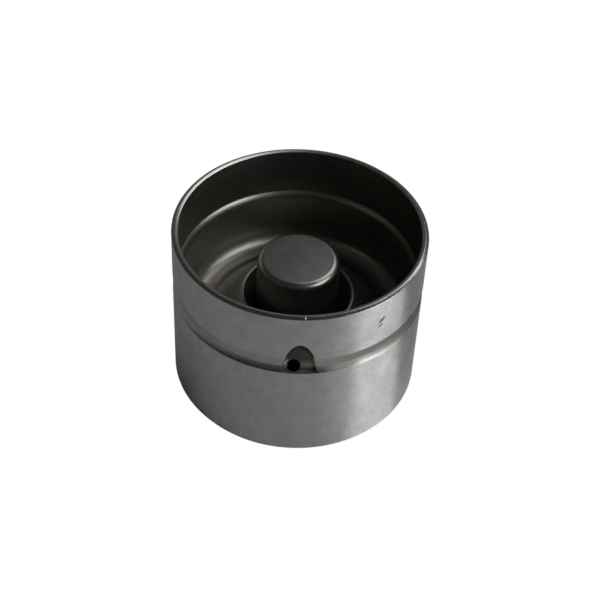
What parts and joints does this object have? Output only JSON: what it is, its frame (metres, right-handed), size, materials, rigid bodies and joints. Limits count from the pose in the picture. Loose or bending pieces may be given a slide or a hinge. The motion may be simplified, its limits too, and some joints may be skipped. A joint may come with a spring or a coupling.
{
  "type": "hydraulic bucket tappet",
  "caption": "Hydraulic bucket tappet: a ground steel cup with an oil groove round its skirt, holding a sprung inner housing in a drawn guide insert that takes up valve lash.",
  "frame": {"origin": "centre of the cam face, on which the tappet stands", "axes": "+Z along the tappet's axis from the cam face to the open end of the skirt; the oil pocket in the groove faces -Y"},
  "size_m": [0.035, 0.035, 0.026],
  "materials": {
    "bucket_steel": "centreless ground steel, satin, dark oiled inside",
    "insert_steel": "drawn sheet steel, dark phosphate and oil",
    "housing_steel": "turned steel, dark phosphate and oil",
    "plunger_steel": "fine ground steel",
    "ball_steel": "polished bearing steel",
    "cage_steel": "pressed sheet steel",
    "spring_steel": "drawn spring wire",
    "ring_steel": "drawn spring wire"
  },
  "bodies": {
    "bucket": {"bucket": "bucket_steel", "guide_insert": "insert_steel"},
    "plunger": {"plunger": "plunger_steel", "ball_cage": "cage_steel", "ball_spring": "spring_steel", "return_spring": "spring_steel"},
    "check_ball": {"check_ball": "ball_steel"},
    "inner_housing": {"inner_housing": "housing_steel", "retaining_ring": "ring_steel"}
  },
  "joints": [
    {"name": "element_turn", "type": "hinge", "parent": "bucket", "child": "plunger", "pos_m": [0, 0, 0.0032], "axis": [0, 0, 1], "continuous": true},
    {"name": "adjuster_slide", "type": "slide", "parent": "plunger", "child": "inner_housing", "axis": [0, 0, 1], "range_m": [-0.0026, 0], "stiffness_N_per_m": 2000, "springref_m": 0.004, "deforming": ["return_spring"]},
    {"name": "ball_lift", "type": "slide", "parent": "plunger", "child": "check_ball", "axis": [0, 0, 1], "range_m": [0, 0.00025], "stiffness_N_per_m": 150, "springref_m": -0.0005, "deforming": ["ball_spring"]}
  ]
}
